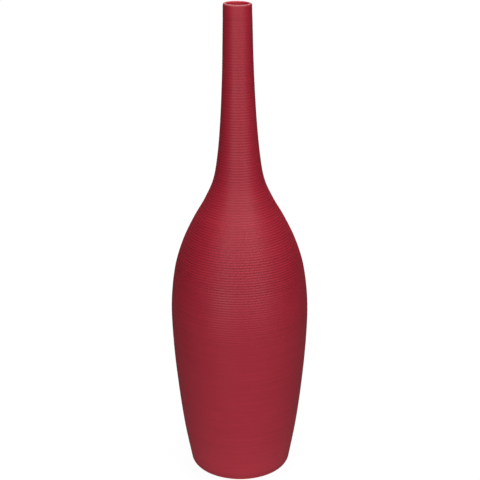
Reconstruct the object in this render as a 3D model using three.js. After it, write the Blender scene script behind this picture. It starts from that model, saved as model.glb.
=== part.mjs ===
// A tall ceramic bottle vase: a body that swells from a plain foot, a sloping shoulder and a long narrow neck.
// The body and the neck are thrown as two sections and luted together with slip at the foot of the neck.
// Felt pads are stuck under the foot ring.
// Millimetres, +Z up. The origin is on the axis, at the level that the vase stands on.
import * as THREE from "three";

// Height and walls
const VASE_HEIGHT = 600;
const LIP_WALL = 3.9;
const SEAM_WALL = 6;
const FOOT_WALL = 5.5;
const FLOOR_THICKNESS = 7;
const FLOOR_ROUNDING = 8;

// The outer wall from just above the foot to the lip, as [radius, height]
const OUTER_WALL_POINTS = [
  [64.2, 14],
  [72.3, 60],
  [79.5, 120],
  [84.0, 175],
  [85.1, 225],
  [80.2, 270],
  [70.0, 305],
  [56.2, 335],
  [42.2, 360],
  [31.4, 385],
  [26.0, 415],
  [21.9, 460],
  [18.9, 520],
  [17.1, VASE_HEIGHT - LIP_WALL / 2],
];

// Foot ring: a flat band with a rounded outer edge, round a shallow recess
const FOOT_FLAT_RADIUS = 53.6;
const FOOT_ROUNDING = 10;
const RECESS_RADIUS = 44;
const RECESS_DEPTH = 2.5;
const RECESS_CHAMFER = 1;

// Felt pads and the film of glue over each
const PAD_COUNT = 4;
const PAD_RADIUS = 4.2;
const PAD_THICKNESS = 1.2;
const GLUE_FILM = 0.3;
const PAD_CIRCLE_RADIUS = 48.8;
const FIRST_PAD_DEGREES = 45;

// The joint: the neck's spigot stands in a rebate of the body, with slip between them
const SEAM_HEIGHT = 397;
const SLIP_THICKNESS = 1.2;
const SLIP_LEG_THICKNESS = 0.6;
const JOINT_CLEARANCE = 0.3;
const REBATE_LAND = 2.2;
const REBATE_DEPTH = 6;

// Fineness of the curves
const SEGMENTS_AROUND = 48;
const BODY_STEPS = 20;
const NECK_STEPS = 11;
const FOOT_STEPS = 5;
const LIP_STEPS = 6;
const FLOOR_STEPS = 3;
const PAD_SEGMENTS = 16;
const HALVINGS = 30;

// Finishes
const GLAZE = { color: 0xa83a49, roughness: 0.38, metalness: 0 };
const SLIP = { color: 0x9c3341, roughness: 0.5, metalness: 0 };
const FELT = { color: 0x4a3b38, roughness: 0.95, metalness: 0 };

const footLevel = PAD_THICKNESS + GLUE_FILM;
const floorTop = footLevel + RECESS_DEPTH + FLOOR_THICKNESS;
const outerWall = new THREE.SplineCurve(
  OUTER_WALL_POINTS.map(([radius, height]) => new THREE.Vector2(radius, height)),
);

// How far along the outer wall a height lies, from 0 at the foot to 1 at the lip. The wall rises all the way.
function placeAtHeight(height) {
  let low = 0;
  let high = 1;
  for (let halving = 0; halving < HALVINGS; halving += 1) {
    const middle = (low + high) / 2;
    if (outerWall.getPoint(middle).y < height) {
      low = middle;
    } else {
      high = middle;
    }
  }
  return low;
}

function wallThickness(height) {
  if (height < SEAM_HEIGHT) {
    return THREE.MathUtils.mapLinear(height, 0, SEAM_HEIGHT, FOOT_WALL, SEAM_WALL);
  }
  return THREE.MathUtils.mapLinear(height, SEAM_HEIGHT, VASE_HEIGHT, SEAM_WALL, LIP_WALL);
}

// The inner face lies a wall's thickness in from the outer face, square to it.
function innerPoint(place) {
  const outer = outerWall.getPoint(place);
  const along = outerWall.getTangent(place);
  const thickness = wallThickness(outer.y);
  return new THREE.Vector2(outer.x - thickness * along.y, outer.y + thickness * along.x);
}

// Points of one face of the wall between two places along it, both ends included.
function wallStretch(pointAt, from, to, steps) {
  const points = [];
  for (let step = 0; step <= steps; step += 1) {
    points.push(pointAt(THREE.MathUtils.lerp(from, to, step / steps)));
  }
  return points;
}

function arc(centreRadius, centreHeight, radius, fromAngle, toAngle, steps) {
  const points = [];
  for (let step = 0; step <= steps; step += 1) {
    const angle = THREE.MathUtils.lerp(fromAngle, toAngle, step / steps);
    points.push(
      new THREE.Vector2(
        centreRadius + radius * Math.cos(angle),
        centreHeight + radius * Math.sin(angle),
      ),
    );
  }
  return points;
}

function turned(name, finish, points) {
  const geometry = new THREE.LatheGeometry(points, SEGMENTS_AROUND);
  geometry.rotateX(Math.PI / 2);
  const mesh = new THREE.Mesh(geometry, new THREE.MeshStandardMaterial(finish));
  mesh.name = name;
  return mesh;
}

// Radii of the joint, worked inwards from the outer wall
const bodyRimHeight = SEAM_HEIGHT - SLIP_THICKNESS / 2 - JOINT_CLEARANCE;
const neckLandHeight = SEAM_HEIGHT + SLIP_THICKNESS / 2 + JOINT_CLEARANCE;
const seamOuterRadius = outerWall.getPoint(placeAtHeight(SEAM_HEIGHT)).x;
const rebateRadius = seamOuterRadius - REBATE_LAND;
const slipLegOuterRadius = rebateRadius - JOINT_CLEARANCE;
const slipLegInnerRadius = slipLegOuterRadius - SLIP_LEG_THICKNESS;
const spigotRadius = slipLegInnerRadius - JOINT_CLEARANCE;
const rebateFloor = SEAM_HEIGHT - REBATE_DEPTH;
const spigotEnd = rebateFloor + JOINT_CLEARANCE;

function footOutline() {
  const recessTop = footLevel + RECESS_DEPTH;
  const [first, second] = outerWall.points;
  const wallAngle = Math.atan2(second.y - first.y, second.x - first.x);
  return [
    new THREE.Vector2(0, recessTop),
    new THREE.Vector2(RECESS_RADIUS - RECESS_CHAMFER, recessTop),
    new THREE.Vector2(RECESS_RADIUS, recessTop - RECESS_CHAMFER),
    new THREE.Vector2(RECESS_RADIUS, footLevel),
    ...arc(
      FOOT_FLAT_RADIUS,
      footLevel + FOOT_ROUNDING,
      FOOT_ROUNDING,
      -Math.PI / 2,
      wallAngle - Math.PI / 2,
      FOOT_STEPS,
    ),
  ];
}

function insideFloorOutline(lowestWallPoint) {
  return [
    ...arc(
      lowestWallPoint.x - FLOOR_ROUNDING,
      floorTop + FLOOR_ROUNDING,
      FLOOR_ROUNDING,
      0,
      -Math.PI / 2,
      FLOOR_STEPS,
    ),
    new THREE.Vector2(0, floorTop),
  ];
}

function bodyShell() {
  const rimPlace = placeAtHeight(bodyRimHeight);
  const rebatePlace = placeAtHeight(rebateFloor - SEAM_WALL / 2);
  const floorPlace = placeAtHeight(floorTop + FLOOR_ROUNDING);
  const insideWall = wallStretch(innerPoint, rebatePlace, floorPlace, BODY_STEPS - 3);
  const lowestInside = insideWall[insideWall.length - 1];
  return turned("body_shell", GLAZE, [
    ...footOutline(),
    ...wallStretch((place) => outerWall.getPoint(place), 0, rimPlace, BODY_STEPS),
    new THREE.Vector2(rebateRadius, bodyRimHeight),
    new THREE.Vector2(rebateRadius, rebateFloor),
    new THREE.Vector2(insideWall[0].x, rebateFloor),
    ...insideWall,
    ...insideFloorOutline(lowestInside),
  ]);
}

function neckShell() {
  const landPlace = placeAtHeight(neckLandHeight);
  const boreFoot = innerPoint(placeAtHeight(SEAM_HEIGHT));
  const lipRadius = LIP_WALL / 2;
  const lipCentre = OUTER_WALL_POINTS[OUTER_WALL_POINTS.length - 1][0] - lipRadius;
  const outside = wallStretch((place) => outerWall.getPoint(place), landPlace, 1, NECK_STEPS);
  const bore = wallStretch(innerPoint, 1, placeAtHeight(SEAM_HEIGHT), NECK_STEPS - 1);
  const outline = [
    ...outside.slice(0, -1),
    ...arc(lipCentre, VASE_HEIGHT - lipRadius, lipRadius, 0, Math.PI, LIP_STEPS),
    ...bore.slice(1),
    new THREE.Vector2(boreFoot.x, spigotEnd),
    new THREE.Vector2(spigotRadius, spigotEnd),
    new THREE.Vector2(spigotRadius, neckLandHeight),
  ];
  return turned("neck_shell", GLAZE, [...outline, outline[0].clone()]);
}

function lutingSlipRing() {
  const top = SEAM_HEIGHT + SLIP_THICKNESS / 2;
  const bottom = SEAM_HEIGHT - SLIP_THICKNESS / 2;
  const legEnd = rebateFloor + JOINT_CLEARANCE;
  const outline = [
    new THREE.Vector2(seamOuterRadius, bottom),
    new THREE.Vector2(seamOuterRadius, top),
    new THREE.Vector2(slipLegInnerRadius, top),
    new THREE.Vector2(slipLegInnerRadius, legEnd),
    new THREE.Vector2(slipLegOuterRadius, legEnd),
    new THREE.Vector2(slipLegOuterRadius, bottom),
  ];
  return turned("luting_slip_ring", SLIP, [...outline, outline[0].clone()]);
}

function footPads() {
  const pads = [];
  for (let count = 0; count < PAD_COUNT; count += 1) {
    const angle = THREE.MathUtils.degToRad(FIRST_PAD_DEGREES + (count * 360) / PAD_COUNT);
    const geometry = new THREE.CylinderGeometry(PAD_RADIUS, PAD_RADIUS, PAD_THICKNESS, PAD_SEGMENTS);
    geometry.rotateX(Math.PI / 2);
    const pad = new THREE.Mesh(geometry, new THREE.MeshStandardMaterial(FELT));
    pad.name = `foot_pad_${count + 1}`;
    pad.position.set(
      PAD_CIRCLE_RADIUS * Math.cos(angle),
      PAD_CIRCLE_RADIUS * Math.sin(angle),
      PAD_THICKNESS / 2,
    );
    pads.push(pad);
  }
  return pads;
}

const vase = new THREE.Group();
vase.add(bodyShell(), neckShell(), lutingSlipRing(), ...footPads());

export default vase;
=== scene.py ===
"""A tall ribbed ceramic bottle vase in satin crimson glaze, with the studio that it is photographed in."""

import math
import random

import bpy
import numpy as np
from mathutils import Matrix, Vector


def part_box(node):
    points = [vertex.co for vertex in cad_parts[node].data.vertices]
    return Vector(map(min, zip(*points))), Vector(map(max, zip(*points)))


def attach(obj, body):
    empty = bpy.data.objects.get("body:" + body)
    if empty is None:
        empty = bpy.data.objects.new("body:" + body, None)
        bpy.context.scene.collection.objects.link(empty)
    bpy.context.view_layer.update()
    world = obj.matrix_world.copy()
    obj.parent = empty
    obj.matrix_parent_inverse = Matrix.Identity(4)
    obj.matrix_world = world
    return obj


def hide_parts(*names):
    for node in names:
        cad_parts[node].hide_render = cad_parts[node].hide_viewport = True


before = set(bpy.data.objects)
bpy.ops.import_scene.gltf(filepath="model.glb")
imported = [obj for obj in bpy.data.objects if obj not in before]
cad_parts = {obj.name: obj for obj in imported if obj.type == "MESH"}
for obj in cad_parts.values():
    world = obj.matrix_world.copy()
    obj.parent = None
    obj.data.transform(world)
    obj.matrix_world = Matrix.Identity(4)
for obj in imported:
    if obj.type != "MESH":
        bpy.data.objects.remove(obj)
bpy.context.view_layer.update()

bl_info = {
    "name": "Ribbed Bottle Vase",
    "version": (1, 0, 0),
    "blender": (4, 5, 0),
    "location": "View3D > Sidebar > Vase",
    "description": "Turns a ribbed ceramic bottle vase and sets up its studio",
    "category": "Object",
}

MM = 0.001

# Height and walls, in millimetres
VASE_HEIGHT = 600.0
LIP_WALL = 3.9
SEAM_WALL = 6.0
FOOT_WALL = 5.5

# Outer wall from just above the foot to the lip, as (radius, height) in millimetres
OUTER_WALL_POINTS = (
    (64.2, 14.0),
    (72.3, 60.0),
    (79.5, 120.0),
    (84.0, 175.0),
    (85.1, 225.0),
    (80.2, 270.0),
    (70.0, 305.0),
    (56.2, 335.0),
    (42.2, 360.0),
    (31.4, 385.0),
    (26.0, 415.0),
    (21.9, 460.0),
    (18.9, 520.0),
    (17.1, VASE_HEIGHT - LIP_WALL / 2),
)

# Foot ring, recess and floor, in millimetres, and the band round the foot's flat that is wiped of glaze
FOOT_LEVEL = 1.5
FOOT_FLAT_RADIUS = 53.6
FOOT_ROUNDING = 10.0
RECESS_RADIUS = 44.0
RECESS_DEPTH = 2.5
RECESS_TOP = FOOT_LEVEL + RECESS_DEPTH
RECESS_CHAMFER = 1.0
WIPED_BAND = 1.5
FLOOR_THICKNESS = 7.0
FLOOR_TOP = RECESS_TOP + FLOOR_THICKNESS
FLOOR_ROUNDING = 8.0

# The luted joint, in millimetres
SEAM_HEIGHT = 397.0
REBATE_LAND = 2.2
REBATE_DEPTH = 6.0
SLIP_THICKNESS = 0.6

# Ribs, in millimetres, and how deep they are up the wall, as (height, multiple of the rib depth)
RIBS_BOTTOM = 170.0
RIBS_TOP = 594.0
RIB_WIDTH_CHANGE = (385.0, 430.0)
RIB_STRENGTHS = (
    (175.0, 0.0),
    (215.0, 0.5),
    (247.0, 0.6),
    (276.0, 1.7),
    (303.0, 1.9),
    (345.0, 1.4),
    (372.0, 1.65),
    (400.0, 1.4),
    (418.0, 1.05),
    (440.0, 0.9),
    (475.0, 0.75),
    (525.0, 0.72),
    (560.0, 0.52),
    (582.0, 0.38),
    (RIBS_TOP, 0.0),
)
STEPS_PER_RIB = 6

# How much more a rib's depth varies than its width, and the share of its depth inside the plain wall
DEPTH_VARIETY = 4
GROOVE_SHARE = 0.5

# How near the plain wall the outer face lies, in millimetres, and the relief that marks the inside
OUTSIDE_BAND = 2.0
INSIDE_LEVEL = 2.0

# How far the wall's wander, the tipped rim and the leaning neck reach, in millimetres
WANDER_SIZE = 60.0
RIM_TIP_REACH = 15.0
NECK_LEAN_REACH = 160.0

# Fineness of the curves
WALL_SAMPLES = 4000
FOOT_STEPS = 18
PLAIN_WALL_STEPS = 30
INSIDE_STEPS = 36
FLOOR_STEPS = 8
UNDER_LIP_STEPS = 4
LIP_STEPS = 20
BORE_STEPS = 30

# The plane that shrinks to an outline's first point, and how near two points are one, in millimetres
FIRST_PLANE_SIZE = 10.0
MERGE_DISTANCE = 0.004
SHARP_EDGE_DEGREES = 50

# Felt pads: the bevel is a share of their thickness, and the glue's inset one of their radius
PAD_VERTICES = 48
PAD_BEVEL_SHARE = 0.2
PAD_BEVEL_SEGMENTS = 3
GLUE_INSET_SHARE = 0.08
PAD_SHARP_EDGE_DEGREES = 40
UPWARDS = 0.99

# The glaze's mottle and the depth of the pale band on the lip, partly thinner glaze, partly a painted
# highlight
MOTTLE_SIZE = 38.0
THIN_GLAZE_AND_HIGHLIGHT_DEPTH = 0.9

# Grains and lines, in millimetres. Too fine to show in life, they are drawn as coarse as they need to be.
SPECKLE_SIZE = 1.1
TURNING_LINE_SIZE = 1.7
GROG_SIZE = 1.4
FIBRE_SIZE = 0.55

# How high they stand, in millimetres
SPECKLE_RELIEF = 0.08
TURNING_LINE_RELIEF = 0.07
GROG_RELIEF = 0.2
FIBRE_RELIEF = 0.2

# How far the turning lines are drawn out round the axis
RING_STRETCH = 60.0

# How much of the pale colour shows on the lip, partly thinner glaze and partly a painted highlight, and how
# much the glaze's patterns brighten and darken it
THIN_GLAZE_AND_HIGHLIGHT_SHARE = 0.22
MOTTLE_AMOUNT = 0.02
STREAK_AMOUNT = 0.07
SPECKLE_AMOUNT = 0.03

# The glaze's roughness, and the range in which a noise mostly stays
GLAZE_ROUGHNESS = (0.46, 0.54)
NOISE_RANGE = (0.3, 0.7)

# The table, in metres, and the distances from the vase's axis between which its white and its light change
TABLE_SIZE = 8.0
TABLE_CUTS = 8
WHITE_REACH = (0.3, 2.0)
BOUNCE_REACH = (0.08, 0.18, 0.5, 0.8)

# Softboxes, as name, place, the point that they face, and width and height, in metres
SOFTBOXES = (
    ("left_softbox", (-1.0, -1.9, 0.85), (-1.0, 0.0, 0.85), (1.0, 1.6)),
    ("front_softbox", (0.0, -1.9, 0.7), (0.0, 0.0, 0.7), (1.0, 1.3)),
    ("right_softbox", (1.45, -1.9, 1.35), (1.45, 0.0, 1.35), (1.9, 2.6)),
    ("overhead_softbox", (0.15, -0.1, 2.0), (0.15, -0.1, 0.0), (1.5, 1.5)),
    ("rear_softbox", (0.0, 1.4, 1.6), (0.0, 0.0, 0.4), (1.2, 1.0)),
)
SENSOR_WIDTH = 36.0


def linear(hex_colour):
    """A colour written as sRGB hex, as linear red, green, blue and alpha."""
    channels = [int(hex_colour[place:place + 2], 16) / 255 for place in (0, 2, 4)]
    return (*[c / 12.92 if c <= 0.04045 else ((c + 0.055) / 1.055) ** 2.4 for c in channels], 1.0)


def wall_point(place):
    """A point of the outer wall, in millimetres. place runs from 0 at the foot to 1 at the lip."""
    last = len(OUTER_WALL_POINTS) - 1
    here = min(int(place * last), last - 1)
    share = place * last - here
    before, start, end, after = (
        np.array(OUTER_WALL_POINTS[min(max(here + step, 0), last)]) for step in (-1, 0, 1, 2)
    )
    leave = (end - before) / 2
    arrive = (after - start) / 2
    return (
        (2 * start - 2 * end + leave + arrive) * share**3
        + (-3 * start + 3 * end - 2 * leave - arrive) * share**2
        + leave * share
        + start
    )


WALL = np.array([wall_point(place) for place in np.linspace(0, 1, WALL_SAMPLES)])
WALL_ALONG = np.gradient(WALL, axis=0)
WALL_ALONG = WALL_ALONG / np.linalg.norm(WALL_ALONG, axis=1, keepdims=True)
WALL_LENGTH = np.concatenate([[0], np.cumsum(np.linalg.norm(np.diff(WALL, axis=0), axis=1))])


def length_at(height):
    """How far along the wall a height lies, in millimetres from the foot."""
    return float(np.interp(height, WALL[:, 1], WALL_LENGTH))


def height_at(length):
    return float(np.interp(length, WALL_LENGTH, WALL[:, 1]))


def off_wall(length, outwards):
    """The point at a length along the wall that stands outwards from it, square to it."""
    radius, height = (np.interp(length, WALL_LENGTH, WALL[:, column]) for column in (0, 1))
    along = [np.interp(length, WALL_LENGTH, WALL_ALONG[:, column]) for column in (0, 1)]
    return (float(radius + outwards * along[1]), float(height - outwards * along[0]))


SEAM_RADIUS = off_wall(length_at(SEAM_HEIGHT), 0)[0]


def wall_thickness(height):
    return float(np.interp(height, (0, SEAM_HEIGHT, VASE_HEIGHT), (FOOT_WALL, SEAM_WALL, LIP_WALL)))


def arc(centre, radius, start_degrees, end_degrees, steps):
    angles = [math.radians(a) for a in np.linspace(start_degrees, end_degrees, steps + 1)]
    return [(centre[0] + radius * math.cos(a), centre[1] + radius * math.sin(a)) for a in angles]


def plain_wall(start_length, end_length, steps):
    return [off_wall(length, 0) for length in np.linspace(start_length, end_length, steps + 1)]


def inner_wall(start_height, end_height, steps):
    """Points of the wall's inside face, from the higher height down or the lower one up."""
    points = []
    for length in np.linspace(length_at(start_height), length_at(end_height), steps + 1):
        points.append(off_wall(length, -wall_thickness(height_at(length))))
    return points


def rib_strength(height):
    """How deep the ribs are at a height, as a multiple of the rib depth. The tool was eased in over the
    belly, bit deepest on the shoulder and was eased off near the lip."""
    heights, strengths = zip(*RIB_STRENGTHS)
    return float(np.interp(height, heights, strengths))


def ribbed_wall(start_height, end_height, form, chance):
    """Rows of (radius, height) for rib after rib, from one crest to another, so that sections meet on a
    crest. Each rib has its own width and depth, within a little."""
    start, end = length_at(start_height), length_at(end_height)
    widths = (form.rib_width_belly / MM, form.rib_width_neck / MM)
    rib_depth = form.rib_depth / MM
    breaks = [start]
    while breaks[-1] < end:
        pitch = np.interp(height_at(breaks[-1]), RIB_WIDTH_CHANGE, widths)
        breaks.append(breaks[-1] + pitch * (1 + chance.uniform(-1, 1) * form.rib_unevenness))
    if breaks[-1] - end > end - breaks[-2]:
        breaks.pop()
    stretch = (end - start) / (breaks[-1] - start)
    breaks = [start + (b - start) * stretch for b in breaks]
    points = []
    for low, high in zip(breaks, breaks[1:]):
        depth = rib_depth * (1 + chance.uniform(-1, 1) * DEPTH_VARIETY * form.rib_unevenness)
        for step in range(STEPS_PER_RIB):
            share = step / STEPS_PER_RIB
            length = low + (high - low) * share
            crown = math.cos(math.pi * share) ** 2 - GROOVE_SHARE
            points.append(off_wall(length, depth * rib_strength(height_at(length)) * crown))
    points.append(off_wall(end, (1 - GROOVE_SHARE) * rib_depth * rib_strength(end_height)))
    return points


def deselect_all():
    if bpy.context.object and bpy.context.object.mode != "OBJECT":
        bpy.ops.object.mode_set(mode="OBJECT")
    bpy.ops.object.select_all(action="DESELECT")


def draw_outline(name, points):
    """Half of a turned piece's section, drawn point by point from one vertex in the XZ plane."""
    deselect_all()
    first = points[0]
    start = (first[0] * MM, 0, first[1] * MM)
    bpy.ops.mesh.primitive_plane_add(size=FIRST_PLANE_SIZE * MM, location=start)
    piece = bpy.context.object
    piece.name = name
    bpy.ops.object.transform_apply(location=True, rotation=True, scale=True)
    bpy.ops.object.mode_set(mode="EDIT")
    bpy.ops.mesh.select_all(action="SELECT")
    bpy.ops.mesh.merge(type="CENTER")
    for here, there in zip(points, points[1:]):
        step = ((there[0] - here[0]) * MM, 0, (there[1] - here[1]) * MM)
        bpy.ops.mesh.extrude_region_move(TRANSFORM_OT_translate={"value": step})
    return piece


def turn(piece, steps):
    """Spins an outline round the vase's axis and closes the seam and the poles."""
    bpy.ops.mesh.select_all(action="SELECT")
    bpy.ops.mesh.spin(steps=steps, angle=math.tau, center=(0, 0, 0), axis=(0, 0, 1), use_auto_merge=True)
    bpy.ops.mesh.select_all(action="SELECT")
    bpy.ops.mesh.remove_doubles(threshold=MERGE_DISTANCE * MM)
    bpy.ops.mesh.normals_make_consistent(inside=False)
    bpy.ops.object.mode_set(mode="OBJECT")
    piece.data.name = piece.name
    bpy.ops.object.shade_smooth_by_angle(angle=math.radians(SHARP_EDGE_DEGREES))


def unsettle(piece, form):
    """The slight wander that hands and firing leave in a turned wall. It moves every piece alike at the
    same place, so that the pieces still meet at the joint."""
    wander = bpy.data.textures.new(piece.name + "_wander", "CLOUDS")
    wander.cloud_type = "COLOR"
    wander.noise_scale = WANDER_SIZE * MM
    modifier = piece.modifiers.new("wander", "DISPLACE")
    modifier.texture = wander
    modifier.texture_coords = "LOCAL"
    modifier.direction = "RGB_TO_XYZ"
    modifier.strength = form.wall_wander
    modifier.mid_level = 0.5
    bpy.context.view_layer.objects.active = piece
    bpy.ops.object.modifier_apply(modifier=modifier.name)


def settle_rim(piece, form):
    """Draws the mouth a little aside and out of level, as it settled when the vase left the wheel."""
    bpy.ops.object.mode_set(mode="EDIT")
    bpy.ops.mesh.select_all(action="DESELECT")
    bpy.ops.object.mode_set(mode="OBJECT")
    for vertex in piece.data.vertices:
        vertex.select = vertex.co.z > (VASE_HEIGHT - LIP_WALL) * MM
    bpy.ops.object.mode_set(mode="EDIT")
    crown = (OUTER_WALL_POINTS[-1][0] - LIP_WALL / 2) * MM
    rim = VASE_HEIGHT * MM
    for axis, angle, hinge in (
        ("X", form.rim_tip_front, (0, crown, rim)),
        ("Y", -form.rim_tip_side, (0, 0, rim)),
    ):
        bpy.ops.transform.rotate(
            value=angle, orient_axis=axis, orient_type="GLOBAL", center_override=hinge,
            use_proportional_edit=True, proportional_edit_falloff="SMOOTH",
            proportional_size=RIM_TIP_REACH * MM,
        )
    bpy.ops.transform.translate(
        value=(-form.neck_lean, 0, 0),
        use_proportional_edit=True, proportional_edit_falloff="SMOOTH",
        proportional_size=NECK_LEAN_REACH * MM,
    )
    bpy.ops.object.mode_set(mode="OBJECT")


def mark_relief(piece, form):
    """Stores how high each vertex stands over the plain wall, from 0 in a groove to 1 on a crest, and
    INSIDE_LEVEL on the inside face."""
    places = np.empty(len(piece.data.vertices) * 3)
    piece.data.vertices.foreach_get("co", places)
    places = places.reshape(-1, 3) / MM
    length = np.interp(places[:, 2], WALL[:, 1], WALL_LENGTH)
    wall_radius, upright = (
        np.interp(length, WALL_LENGTH, column) for column in (WALL[:, 0], WALL_ALONG[:, 1])
    )
    outwards = (np.hypot(places[:, 0], places[:, 1]) - wall_radius) * upright
    level = GROOVE_SHARE + outwards / (form.rib_depth / MM)
    inside = np.interp(outwards, (-LIP_WALL, -OUTSIDE_BAND), (INSIDE_LEVEL, GROOVE_SHARE))
    level = np.where(outwards > -OUTSIDE_BAND, np.clip(level, 0, 1), inside)
    relief = piece.data.attributes.new("rib_relief", "FLOAT", "POINT")
    relief.data.foreach_set("value", level)


def glazed_piece(name, points, form):
    """A section or bead of clay, turned from its outline and glazed."""
    piece = draw_outline(name, points)
    turn(piece, form.segments_around)
    mark_relief(piece, form)
    unsettle(piece, form)
    piece.data.materials.append(bpy.data.materials["satin_crimson_glaze"])
    return piece


def finish_piece(piece, slot, *nodes):
    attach(piece, "root")
    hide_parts(*nodes)


def add_node(tree, kind, links=(), **settings):
    """Adds a shader node. settings name its properties or its input sockets. links are (socket, source)."""
    node = tree.nodes.new(kind)
    for name, value in settings.items():
        if hasattr(node, name):
            setattr(node, name, value)
        else:
            node.inputs[name.replace("_", " ")].default_value = value
    for socket, source in links:
        tree.links.new(source, node.inputs[socket])
    return node


def new_material(name):
    material = bpy.data.materials.new(name)
    material.use_nodes = True
    material.node_tree.nodes.clear()
    return material, material.node_tree


def glaze_material(colours):
    """Satin crimson glaze, sprayed over turned ribs and fired. It is darker in the grooves, partly where the
    glaze pools and partly as painted shade, and paler on the lip, partly where the glaze runs thinner and
    partly as a painted highlight. Inside the mouth it is painted brighter, as painted light, and it has a
    faint mottle, fine streaks from turning and a soft, broad sheen."""
    material, tree = new_material("satin_crimson_glaze")
    place = add_node(tree, "ShaderNodeTexCoord").outputs["Object"]
    relief = add_node(tree, "ShaderNodeAttribute", attribute_name="rib_relief").outputs["Fac"]
    height = add_node(tree, "ShaderNodeSeparateXYZ", [("Vector", place)]).outputs["Z"]

    # Painted shade: the grooves are darker, partly where the glaze pools and partly as painted shade that
    # deepens the ribs.
    groove_pooling_and_shade = add_node(tree, "ShaderNodeMapRange", [("Value", relief)], From_Max=GROOVE_SHARE)
    coat = add_node(tree, "ShaderNodeMix", data_type="RGBA")
    coat.inputs["A"].default_value = linear(colours.pooled_and_shaded)
    coat.inputs["B"].default_value = linear(colours.glaze)
    tree.links.new(groove_pooling_and_shade.outputs["Result"], coat.inputs["Factor"])

    # Painted highlight: the lip is paler, partly where the glaze runs thinner and partly as a painted
    # highlight.
    lip = add_node(
        tree, "ShaderNodeMapRange", [("Value", height)],
        From_Min=(VASE_HEIGHT - THIN_GLAZE_AND_HIGHLIGHT_DEPTH) * MM, From_Max=VASE_HEIGHT * MM,
        To_Max=THIN_GLAZE_AND_HIGHLIGHT_SHARE,
    )
    thin_and_highlit_lip = add_node(tree, "ShaderNodeMix", data_type="RGBA")
    thin_and_highlit_lip.inputs["B"].default_value = linear(colours.thin_glaze_and_highlight)
    tree.links.new(lip.outputs["Result"], thin_and_highlit_lip.inputs["Factor"])
    tree.links.new(coat.outputs["Result"], thin_and_highlit_lip.inputs["A"])

    rings = add_node(tree, "ShaderNodeMapping", [("Vector", place)], Scale=(1.0, 1.0, RING_STRETCH))
    mottle, speckle, turning = (
        add_node(
            tree, "ShaderNodeTexNoise", [("Vector", vector)], Scale=1 / (size * MM), Detail=detail
        ).outputs["Fac"]
        for vector, size, detail in (
            (place, MOTTLE_SIZE, 4.0),
            (place, SPECKLE_SIZE, 2.0),
            (rings.outputs["Vector"], TURNING_LINE_SIZE * RING_STRETCH, 3.0),
        )
    )
    low, high = NOISE_RANGE
    # Painted light: the inside of the mouth is painted brighter, standing in for light that falls into it.
    brightness = add_node(
        tree, "ShaderNodeMapRange", [("Value", relief)],
        From_Min=1.0, From_Max=INSIDE_LEVEL, To_Min=1.0, To_Max=colours.painted_inside_light,
    ).outputs["Result"]
    for pattern, amount in ((mottle, MOTTLE_AMOUNT), (turning, STREAK_AMOUNT), (speckle, SPECKLE_AMOUNT)):
        change = add_node(
            tree, "ShaderNodeMapRange", [("Value", pattern)],
            From_Min=low, From_Max=high, To_Min=1 - amount, To_Max=1 + amount,
        )
        brightness = add_node(
            tree, "ShaderNodeMath", [(0, brightness), (1, change.outputs["Result"])], operation="MULTIPLY"
        ).outputs["Value"]
    colour = add_node(
        tree, "ShaderNodeHueSaturation", [("Color", thin_and_highlit_lip.outputs["Result"]), ("Value", brightness)]
    )
    sheen = add_node(
        tree, "ShaderNodeMapRange", [("Value", mottle)],
        From_Min=low, From_Max=high, To_Min=GLAZE_ROUGHNESS[0], To_Max=GLAZE_ROUGHNESS[1],
    )
    lines = add_node(
        tree, "ShaderNodeBump", [("Height", turning)], Strength=0.6, Distance=TURNING_LINE_RELIEF * MM
    )
    skin = add_node(
        tree, "ShaderNodeBump", [("Height", speckle), ("Normal", lines.outputs["Normal"])],
        Strength=0.15, Distance=SPECKLE_RELIEF * MM,
    )
    shader = add_node(
        tree, "ShaderNodeBsdfPrincipled",
        [
            ("Base Color", colour.outputs["Color"]),
            ("Roughness", sheen.outputs["Result"]),
            ("Normal", skin.outputs["Normal"]),
        ],
        IOR=1.5, Specular_IOR_Level=0.41,
    )
    add_node(tree, "ShaderNodeOutputMaterial", [("Surface", shader.outputs["BSDF"])])
    return material


def bare_clay_material(colours):
    """Bare stoneware, wiped clean of glaze before firing. It looks dry, pale and grainy with fine grog."""
    material, tree = new_material("bare_stoneware")
    place = add_node(tree, "ShaderNodeTexCoord").outputs["Object"]
    grog = add_node(
        tree, "ShaderNodeTexNoise", [("Vector", place)], Scale=1 / (GROG_SIZE * MM), Detail=6.0
    ).outputs["Fac"]
    blend = add_node(tree, "ShaderNodeValToRGB", [("Fac", grog)])
    blend.color_ramp.elements[0].position = 0.35
    blend.color_ramp.elements[0].color = linear(colours.clay_dark)
    blend.color_ramp.elements[1].position = 0.6
    blend.color_ramp.elements[1].color = linear(colours.clay)
    skin = add_node(tree, "ShaderNodeBump", [("Height", grog)], Strength=0.5, Distance=GROG_RELIEF * MM)
    shader = add_node(
        tree, "ShaderNodeBsdfPrincipled",
        [("Base Color", blend.outputs["Color"]), ("Normal", skin.outputs["Normal"])],
        Roughness=0.85,
    )
    add_node(tree, "ShaderNodeOutputMaterial", [("Surface", shader.outputs["BSDF"])])
    return material


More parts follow.
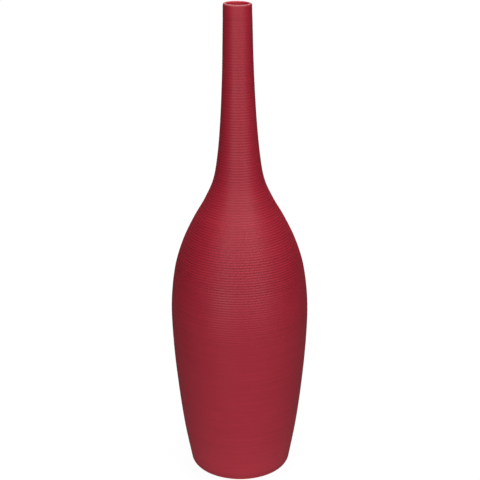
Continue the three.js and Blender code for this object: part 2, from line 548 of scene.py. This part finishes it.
def felt_material(colours):
    """Pressed wool felt, die cut. Its matted fibres look soft, dark and slightly fuzzy at the rim."""
    material, tree = new_material("pressed_wool_felt")
    place = add_node(tree, "ShaderNodeTexCoord").outputs["Object"]
    fibres = add_node(
        tree, "ShaderNodeTexNoise", [("Vector", place)],
        Scale=1 / (FIBRE_SIZE * MM), Detail=5.0, Distortion=2.0,
    ).outputs["Fac"]
    blend = add_node(tree, "ShaderNodeValToRGB", [("Fac", fibres)])
    blend.color_ramp.elements[0].position = 0.3
    blend.color_ramp.elements[0].color = linear(colours.felt_dark)
    blend.color_ramp.elements[1].position = 0.7
    blend.color_ramp.elements[1].color = linear(colours.felt)
    skin = add_node(
        tree, "ShaderNodeBump", [("Height", fibres)], Strength=0.8, Distance=FIBRE_RELIEF * MM
    )
    shader = add_node(
        tree, "ShaderNodeBsdfPrincipled",
        [("Base Color", blend.outputs["Color"]), ("Normal", skin.outputs["Normal"])],
        Roughness=0.95, Sheen_Weight=0.4, Sheen_Roughness=0.5,
    )
    add_node(tree, "ShaderNodeOutputMaterial", [("Surface", shader.outputs["BSDF"])])
    return material


class VaseForm(bpy.types.PropertyGroup):
    """Sizes of the turned surface."""

    rib_width_belly: bpy.props.FloatProperty(
        name="Rib width on the belly", description="Spacing of the ribs on the body",
        default=0.00312, subtype="DISTANCE", unit="LENGTH", precision=5,
    )
    rib_width_neck: bpy.props.FloatProperty(
        name="Rib width on the neck", description="Spacing of the ribs on the neck",
        default=0.00342, subtype="DISTANCE", unit="LENGTH", precision=5,
    )
    rib_depth: bpy.props.FloatProperty(
        name="Rib depth", description="Depth of a rib of strength 1 from groove to crest",
        default=0.000265, subtype="DISTANCE", unit="LENGTH", precision=6,
    )
    rib_unevenness: bpy.props.FloatProperty(
        name="Rib unevenness", description="How much one rib's width differs from the next",
        default=0.02, subtype="FACTOR", min=0.0, max=0.2,
    )
    wall_wander: bpy.props.FloatProperty(
        name="Wall wander", description="How far the turned wall strays from a true circle",
        default=0.00025, subtype="DISTANCE", unit="LENGTH", precision=5,
    )
    rim_tip_front: bpy.props.FloatProperty(
        name="Rim tip to the front", description="How far the mouth's front stands up out of level",
        default=math.radians(1.6), subtype="ANGLE", unit="ROTATION",
    )
    rim_tip_side: bpy.props.FloatProperty(
        name="Rim tip to the side", description="How far the mouth's left side stands up out of level",
        default=math.radians(1.0), subtype="ANGLE", unit="ROTATION",
    )
    neck_lean: bpy.props.FloatProperty(
        name="Neck lean", description="How far the mouth stands to the left of the axis",
        default=0.0004, subtype="DISTANCE", unit="LENGTH", precision=5,
    )
    segments_around: bpy.props.IntProperty(
        name="Segments", description="Steps round the axis", default=112, min=32, max=192,
    )
    seed: bpy.props.IntProperty(name="Seed", description="Which set of uneven ribs", default=7)


class VaseColours(bpy.types.PropertyGroup):
    """Colours of the finishes, as sRGB hex, and how much brighter the inside of the mouth is painted, as
    painted light.
    """

    glaze: bpy.props.StringProperty(name="Glaze", description="The glaze at full depth", default="A81F32")
    # Darker colour of the grooves: glaze that pools there and painted shade
    pooled_and_shaded: bpy.props.StringProperty(name="Pooled glaze", description="Glaze in grooves", default="9A1C2D")
    # Paler colour of the lip: glaze that runs thinner and a painted highlight
    thin_glaze_and_highlight: bpy.props.StringProperty(name="Thin glaze", description="Glaze on the lip", default="E8A09E")
    # Painted light: how much brighter the inside of the mouth is painted
    painted_inside_light: bpy.props.FloatProperty(
        name="Liner brightness", description="How much brighter the thinner glaze inside looks",
        default=1.4, min=1.0, max=2.0,
    )
    clay: bpy.props.StringProperty(name="Clay", description="Bare clay of the foot", default="CDB8A2")
    clay_dark: bpy.props.StringProperty(name="Clay grog", description="Darker grains", default="A98E76")
    felt: bpy.props.StringProperty(name="Felt", description="Light fibres of the pads", default="5A4B48")
    felt_dark: bpy.props.StringProperty(name="Felt shade", description="Dark fibres", default="332A2A")


class VaseStudio(bpy.types.PropertyGroup):
    """Camera and light of the studio."""

    distance: bpy.props.FloatProperty(
        name="Camera distance", description="Level distance from the vase's axis",
        default=1.5567, subtype="DISTANCE", unit="LENGTH",
    )
    camera_height: bpy.props.FloatProperty(
        name="Camera height", description="Height over the table",
        default=0.8987, subtype="DISTANCE", unit="LENGTH",
    )
    pitch: bpy.props.FloatProperty(
        name="Pitch", description="How far the camera looks down",
        default=math.radians(20.82), subtype="ANGLE", unit="ROTATION",
    )
    roll: bpy.props.FloatProperty(
        name="Roll", description="How far the camera is turned about its own axis",
        default=-0.0057, subtype="ANGLE", unit="ROTATION",
    )
    aside: bpy.props.FloatProperty(
        name="Aside", description="How far the camera stands to the right of the axis",
        default=0.001, subtype="DISTANCE", unit="LENGTH", precision=4,
    )
    lens: bpy.props.FloatProperty(name="Lens", description="Focal length", default=101.14, unit="CAMERA")
    left_power: bpy.props.FloatProperty(
        name="Left softbox", description="Power of the softbox left of the camera",
        default=17.8, unit="POWER",
    )
    front_power: bpy.props.FloatProperty(
        name="Front softbox", description="Power of the softbox under the camera",
        default=3.3, unit="POWER",
    )
    right_power: bpy.props.FloatProperty(
        name="Right softbox", description="Power of the softbox on the right", default=33.5, unit="POWER",
    )
    overhead_power: bpy.props.FloatProperty(
        name="Overhead softbox", description="Power of the softbox over the vase",
        default=26.0, unit="POWER",
    )
    rear_power: bpy.props.FloatProperty(
        name="Rear softbox", description="Power of the softbox behind the vase",
        default=10.0, unit="POWER",
    )
    fill: bpy.props.FloatProperty(
        name="Fill", description="Brightness of the room all round", default=0.01, min=0.0, max=1.0,
    )
    reflected_share: bpy.props.FloatProperty(
        name="Reflected white", description="How much of the white room shows in reflections",
        default=0.04, subtype="FACTOR", min=0.0, max=1.0,
    )
    table_white: bpy.props.FloatProperty(
        name="Table white", description="How white the table looks before light falls on it",
        default=0.955, subtype="FACTOR", min=0.0, max=1.0,
    )
    table: bpy.props.StringProperty(
        name="Table", description="The table's own colour, under its white look", default="484848",
    )
    bounce: bpy.props.FloatProperty(
        name="Bounce", description="How brightly the sheet under the vase lights its foot",
        default=0.5, min=0.0, max=1.0,
    )
    foot_bounce: bpy.props.FloatProperty(
        name="Foot bounce", description="How brightly the sheet's middle lights the rounded foot",
        default=0.82, min=0.0, max=1.0,
    )


class VASE_OT_body(bpy.types.Operator):
    """Turns the body section with its floor, foot ring and ribbed shoulder"""

    bl_idname = "vase.body"
    bl_label = "Turn the body"

    def execute(self, context):
        form = context.scene.vase_form
        chance = random.Random(form.seed)
        rim = SEAM_HEIGHT - form.rib_width_neck / MM / 2
        wall_degrees = math.degrees(math.atan2(WALL_ALONG[0][1], WALL_ALONG[0][0]))
        rebate_radius = SEAM_RADIUS - REBATE_LAND
        rebate_floor = SEAM_HEIGHT - REBATE_DEPTH
        inside = inner_wall(rebate_floor - SEAM_WALL / 2, FLOOR_TOP + FLOOR_ROUNDING, INSIDE_STEPS)
        corner = (inside[-1][0] - FLOOR_ROUNDING, FLOOR_TOP + FLOOR_ROUNDING)
        foot_centre = (FOOT_FLAT_RADIUS, FOOT_LEVEL + FOOT_ROUNDING)
        points = [
            (0, RECESS_TOP),
            (RECESS_RADIUS - RECESS_CHAMFER, RECESS_TOP),
            (RECESS_RADIUS, RECESS_TOP - RECESS_CHAMFER),
            (RECESS_RADIUS, FOOT_LEVEL),
            *arc(foot_centre, FOOT_ROUNDING, -90, wall_degrees - 90, FOOT_STEPS),
            *plain_wall(0, length_at(RIBS_BOTTOM), PLAIN_WALL_STEPS)[:-1],
            *ribbed_wall(RIBS_BOTTOM, rim, form, chance),
            (rebate_radius, rim),
            (rebate_radius, rebate_floor),
            (inside[0][0], rebate_floor),
            *inside,
            *arc(corner, FLOOR_ROUNDING, 0, -90, FLOOR_STEPS)[1:],
            (0, FLOOR_TOP),
        ]
        piece = glazed_piece("glazed_body", points, form)
        piece.data.materials.append(bpy.data.materials["bare_stoneware"])
        for face in piece.data.polygons:
            in_foot = face.center.xy.length < (FOOT_FLAT_RADIUS + WIPED_BAND) * MM
            under_floor = face.center.z < (RECESS_TOP + RECESS_CHAMFER) * MM
            if in_foot and under_floor:
                face.material_index = 1
        finish_piece(piece, "crimson_glaze", "body_shell")
        return {"FINISHED"}


class VASE_OT_neck(bpy.types.Operator):
    """Turns the ribbed neck with its rounded lip and its spigot"""

    bl_idname = "vase.neck"
    bl_label = "Turn the neck"

    def execute(self, context):
        form = context.scene.vase_form
        chance = random.Random(form.seed + 1)
        land = SEAM_HEIGHT + form.rib_width_neck / MM / 2
        lip_radius = LIP_WALL / 2
        lip_centre = (OUTER_WALL_POINTS[-1][0] - lip_radius, VASE_HEIGHT - lip_radius)
        spigot_radius = SEAM_RADIUS - REBATE_LAND - SLIP_THICKNESS
        spigot_end = SEAM_HEIGHT - REBATE_DEPTH
        bore = inner_wall(lip_centre[1], SEAM_HEIGHT, BORE_STEPS)
        points = [
            *ribbed_wall(land, RIBS_TOP, form, chance),
            *plain_wall(length_at(RIBS_TOP), WALL_LENGTH[-1], UNDER_LIP_STEPS)[1:-1],
            *arc(lip_centre, lip_radius, 0, 180, LIP_STEPS),
            *bore[1:],
            (bore[-1][0], spigot_end),
            (spigot_radius, spigot_end),
            (spigot_radius, land),
        ]
        piece = glazed_piece("glazed_neck", [*points, points[0]], form)
        settle_rim(piece, form)
        finish_piece(piece, "crimson_glaze", "neck_shell")
        return {"FINISHED"}


class VASE_OT_slip_bead(bpy.types.Operator):
    """Turns the bead of slip that lutes the neck to the body and is ribbed like them"""

    bl_idname = "vase.slip_bead"
    bl_label = "Lay the slip bead"

    def execute(self, context):
        form = context.scene.vase_form
        half_bead = form.rib_width_neck / MM / 2
        low, high = SEAM_HEIGHT - half_bead, SEAM_HEIGHT + half_bead
        leg_outer = SEAM_RADIUS - REBATE_LAND
        leg_inner = leg_outer - SLIP_THICKNESS
        leg_end = SEAM_HEIGHT - REBATE_DEPTH
        points = [
            *ribbed_wall(low, high, form, random.Random(form.seed + 2)),
            (leg_inner, high),
            (leg_inner, leg_end),
            (leg_outer, leg_end),
            (leg_outer, low),
        ]
        piece = glazed_piece("slip_bead", [*points, points[0]], form)
        finish_piece(piece, "fired_slip", "luting_slip_ring")
        return {"FINISHED"}


def felt_pad(low, high):
    """A die-cut disc of felt in the box from low to high, with its film of glue up to the foot ring."""
    radius = (high.x - low.x) / 2
    thickness = high.z - low.z
    deselect_all()
    bpy.ops.mesh.primitive_cylinder_add(
        vertices=PAD_VERTICES, radius=radius, depth=thickness, location=(low + high) / 2
    )
    pad = bpy.context.object
    bpy.ops.object.transform_apply(location=True, rotation=True, scale=True)
    bpy.ops.object.mode_set(mode="EDIT")
    bpy.ops.mesh.select_all(action="DESELECT")
    bpy.ops.object.mode_set(mode="OBJECT")
    for edge in pad.data.edges:
        ends = [pad.data.vertices[index].co.z for index in edge.vertices]
        edge.select = abs(ends[0] - ends[1]) < thickness / 2
    bpy.ops.object.mode_set(mode="EDIT")
    bpy.ops.mesh.bevel(offset=thickness * PAD_BEVEL_SHARE, segments=PAD_BEVEL_SEGMENTS, affect="EDGES")
    bpy.ops.mesh.select_all(action="DESELECT")
    bpy.ops.object.mode_set(mode="OBJECT")
    for face in pad.data.polygons:
        face.select = face.normal.z > UPWARDS
    bpy.ops.object.mode_set(mode="EDIT")
    bpy.ops.mesh.inset(thickness=radius * GLUE_INSET_SHARE)
    film = FOOT_LEVEL * MM - high.z
    bpy.ops.mesh.extrude_region_move(TRANSFORM_OT_translate={"value": (0, 0, film)})
    bpy.ops.object.mode_set(mode="OBJECT")
    bpy.ops.object.shade_smooth_by_angle(angle=math.radians(PAD_SHARP_EDGE_DEGREES))
    pad.data.materials.append(bpy.data.materials["pressed_wool_felt"])
    return pad


class VASE_OT_pads(bpy.types.Operator):
    """Cuts a felt pad, copies it and sticks all four under the foot ring"""

    bl_idname = "vase.pads"
    bl_label = "Stick on the pads"

    def execute(self, context):
        nodes = sorted(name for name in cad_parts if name.startswith("foot_pad_"))
        corners = [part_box(node)[0] for node in nodes]
        pads = [felt_pad(*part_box(nodes[0]))]
        for corner in corners[1:]:
            deselect_all()
            pads[0].select_set(True)
            context.view_layer.objects.active = pads[0]
            bpy.ops.object.duplicate()
            bpy.ops.transform.translate(value=corner - corners[0])
            bpy.ops.object.transform_apply(location=True, rotation=True, scale=True)
            pads.append(context.view_layer.objects.active)
        for pad, node in zip(pads, nodes):
            pad.name = node.replace("foot_pad", "felt_pad")
            pad.data.name = pad.name
            finish_piece(pad, "pad_felt", node)
        return {"FINISHED"}


class VASE_OT_finishes(bpy.types.Operator):
    """Mixes the glaze, the bare clay and the felt"""

    bl_idname = "vase.finishes"
    bl_label = "Mix the finishes"

    def execute(self, context):
        colours = context.scene.vase_colours
        glaze_material(colours)
        bare_clay_material(colours)
        felt_material(colours)
        return {"FINISHED"}


def seen_share(tree, reflected_share):
    """How much of the white room a ray meets: all of it for the camera and through glass, and only a little
    in reflections, as where black cards stand at both sides and keep a glaze's edges deep in colour."""
    light_path = add_node(tree, "ShaderNodeLightPath")
    reflected = add_node(
        tree, "ShaderNodeMath", [(0, light_path.outputs["Is Glossy Ray"])], operation="MULTIPLY"
    )
    reflected.inputs[1].default_value = reflected_share
    straight = add_node(
        tree, "ShaderNodeMath",
        [(0, light_path.outputs["Is Camera Ray"]), (1, light_path.outputs["Is Transmission Ray"])],
        operation="MAXIMUM",
    )
    share = add_node(
        tree, "ShaderNodeMath", [(0, straight.outputs["Value"]), (1, reflected.outputs["Value"])],
        operation="MAXIMUM",
    )
    return share.outputs["Value"]


def floor_material(studio):
    """White paper sweep, a matt sheet that looks white whatever the light on it and keeps a faint shadow.
    It throws light up to the foot from close by, and looks dark in the glaze, as black card would."""
    material, tree = new_material("white_paper_sweep")
    place = add_node(tree, "ShaderNodeTexCoord").outputs["Object"]
    away = add_node(tree, "ShaderNodeVectorMath", [(0, place)], operation="LENGTH").outputs["Value"]
    whiteness = add_node(
        tree, "ShaderNodeMapRange", [("Value", away)],
        From_Min=WHITE_REACH[0], From_Max=WHITE_REACH[1], To_Min=studio.table_white, To_Max=1.0,
    )
    seen = add_node(
        tree, "ShaderNodeMath",
        [(0, seen_share(tree, studio.reflected_share)), (1, whiteness.outputs["Result"])],
        operation="MULTIPLY",
    )
    bounce = add_node(tree, "ShaderNodeValToRGB", [("Fac", away)])
    strengths = (studio.foot_bounce, studio.bounce, studio.bounce, 0.0)
    for distance, strength in zip(BOUNCE_REACH, strengths):
        stop = bounce.color_ramp.elements.new(distance)
        stop.color = (strength, strength, strength, 1.0)
    bounce.color_ramp.elements.remove(bounce.color_ramp.elements[-1])
    bounce.color_ramp.elements.remove(bounce.color_ramp.elements[0])
    light_path = add_node(tree, "ShaderNodeLightPath")
    level = add_node(
        tree, "ShaderNodeMath",
        [
            (0, light_path.outputs["Is Diffuse Ray"]),
            (1, bounce.outputs["Color"]),
            (2, seen.outputs["Value"]),
        ],
        operation="MULTIPLY_ADD",
    )
    card = add_node(tree, "ShaderNodeBsdfDiffuse", Color=linear(studio.table))
    white = add_node(
        tree, "ShaderNodeEmission", [("Strength", level.outputs["Value"])], Color=linear("FFFFFF")
    )
    both = add_node(tree, "ShaderNodeAddShader", [(0, card.outputs["BSDF"]), (1, white.outputs["Emission"])])
    add_node(tree, "ShaderNodeOutputMaterial", [("Surface", both.outputs["Shader"])])
    return material


def studio_world(studio):
    """White behind the vase for the camera, and a dim plain room for the light that falls on it."""
    world = bpy.data.worlds.new("studio_room")
    bpy.context.scene.world = world
    world.use_nodes = True
    tree = world.node_tree
    tree.nodes.clear()
    room = add_node(tree, "ShaderNodeBackground", Color=linear("FFFFFF"), Strength=studio.fill)
    white = add_node(tree, "ShaderNodeBackground", Color=linear("FFFFFF"), Strength=1.0)
    mix = add_node(
        tree, "ShaderNodeMixShader",
        [
            (0, seen_share(tree, studio.reflected_share)),
            (1, room.outputs["Background"]),
            (2, white.outputs["Background"]),
        ],
    )
    add_node(tree, "ShaderNodeOutputWorld", [("Surface", mix.outputs["Shader"])])


def softbox(name, location, target, size, power):
    """A plain rectangular softbox that the camera doesn't see."""
    deselect_all()
    bpy.ops.object.light_add(type="AREA", location=location)
    lamp = bpy.context.object
    lamp.name = name
    lamp.data.shape = "RECTANGLE"
    lamp.data.size, lamp.data.size_y = size
    lamp.data.energy = power
    lamp.rotation_euler = (Vector(location) - Vector(target)).to_track_quat("Z", "Y").to_euler()
    lamp.visible_camera = False


class VASE_OT_studio(bpy.types.Operator):
    """Sets up the white table, the plain soft light and the camera"""

    bl_idname = "vase.studio"
    bl_label = "Set up the studio"

    def execute(self, context):
        studio = context.scene.vase_studio
        deselect_all()
        bpy.ops.mesh.primitive_grid_add(
            x_subdivisions=TABLE_CUTS, y_subdivisions=TABLE_CUTS, size=TABLE_SIZE, location=(0, 0, 0)
        )
        table = bpy.context.object
        table.name = "white_table"
        table.data.materials.append(floor_material(studio))
        studio_world(studio)
        powers = (
            studio.left_power, studio.front_power, studio.right_power,
            studio.overhead_power, studio.rear_power,
        )
        for (name, location, target, size), power in zip(SOFTBOXES, powers):
            softbox(name, location, target, size, power)
        bpy.ops.object.camera_add(location=(studio.aside, -studio.distance, studio.camera_height))
        camera = bpy.context.object
        camera.name = "studio_camera"
        camera.data.lens = studio.lens
        camera.data.sensor_width = SENSOR_WIDTH
        turned = Matrix.Rotation(math.pi / 2 - studio.pitch, 4, "X") @ Matrix.Rotation(studio.roll, 4, "Z")
        camera.rotation_euler = turned.to_euler()
        context.scene.camera = camera
        context.scene.view_settings.view_transform = "Standard"
        return {"FINISHED"}


class VASE_PT_panel(bpy.types.Panel):
    """Lists the vase's pieces and the studio in the sidebar"""

    bl_label = "Bottle vase"
    bl_idname = "VASE_PT_panel"
    bl_space_type = "VIEW_3D"
    bl_region_type = "UI"
    bl_category = "Vase"

    def draw(self, context):
        for operator in OPERATORS:
            self.layout.operator(operator.bl_idname)
        for group in (context.scene.vase_form, context.scene.vase_colours, context.scene.vase_studio):
            for name in group.__annotations__:
                self.layout.prop(group, name)


GROUPS = (VaseForm, VaseColours, VaseStudio)
OPERATORS = (VASE_OT_finishes, VASE_OT_body, VASE_OT_neck, VASE_OT_slip_bead, VASE_OT_pads, VASE_OT_studio)


def register():
    for cls in (*GROUPS, *OPERATORS, VASE_PT_panel):
        bpy.utils.register_class(cls)
    bpy.types.Scene.vase_form = bpy.props.PointerProperty(type=VaseForm)
    bpy.types.Scene.vase_colours = bpy.props.PointerProperty(type=VaseColours)
    bpy.types.Scene.vase_studio = bpy.props.PointerProperty(type=VaseStudio)


def unregister():
    del bpy.types.Scene.vase_studio
    del bpy.types.Scene.vase_colours
    del bpy.types.Scene.vase_form
    for cls in reversed((*GROUPS, *OPERATORS, VASE_PT_panel)):
        bpy.utils.unregister_class(cls)


def main():
    register()
    bpy.ops.vase.finishes()
    bpy.ops.vase.body()
    bpy.ops.vase.neck()
    bpy.ops.vase.slip_bead()
    bpy.ops.vase.pads()
    bpy.ops.vase.studio()


if __name__ == "__main__":
    main()
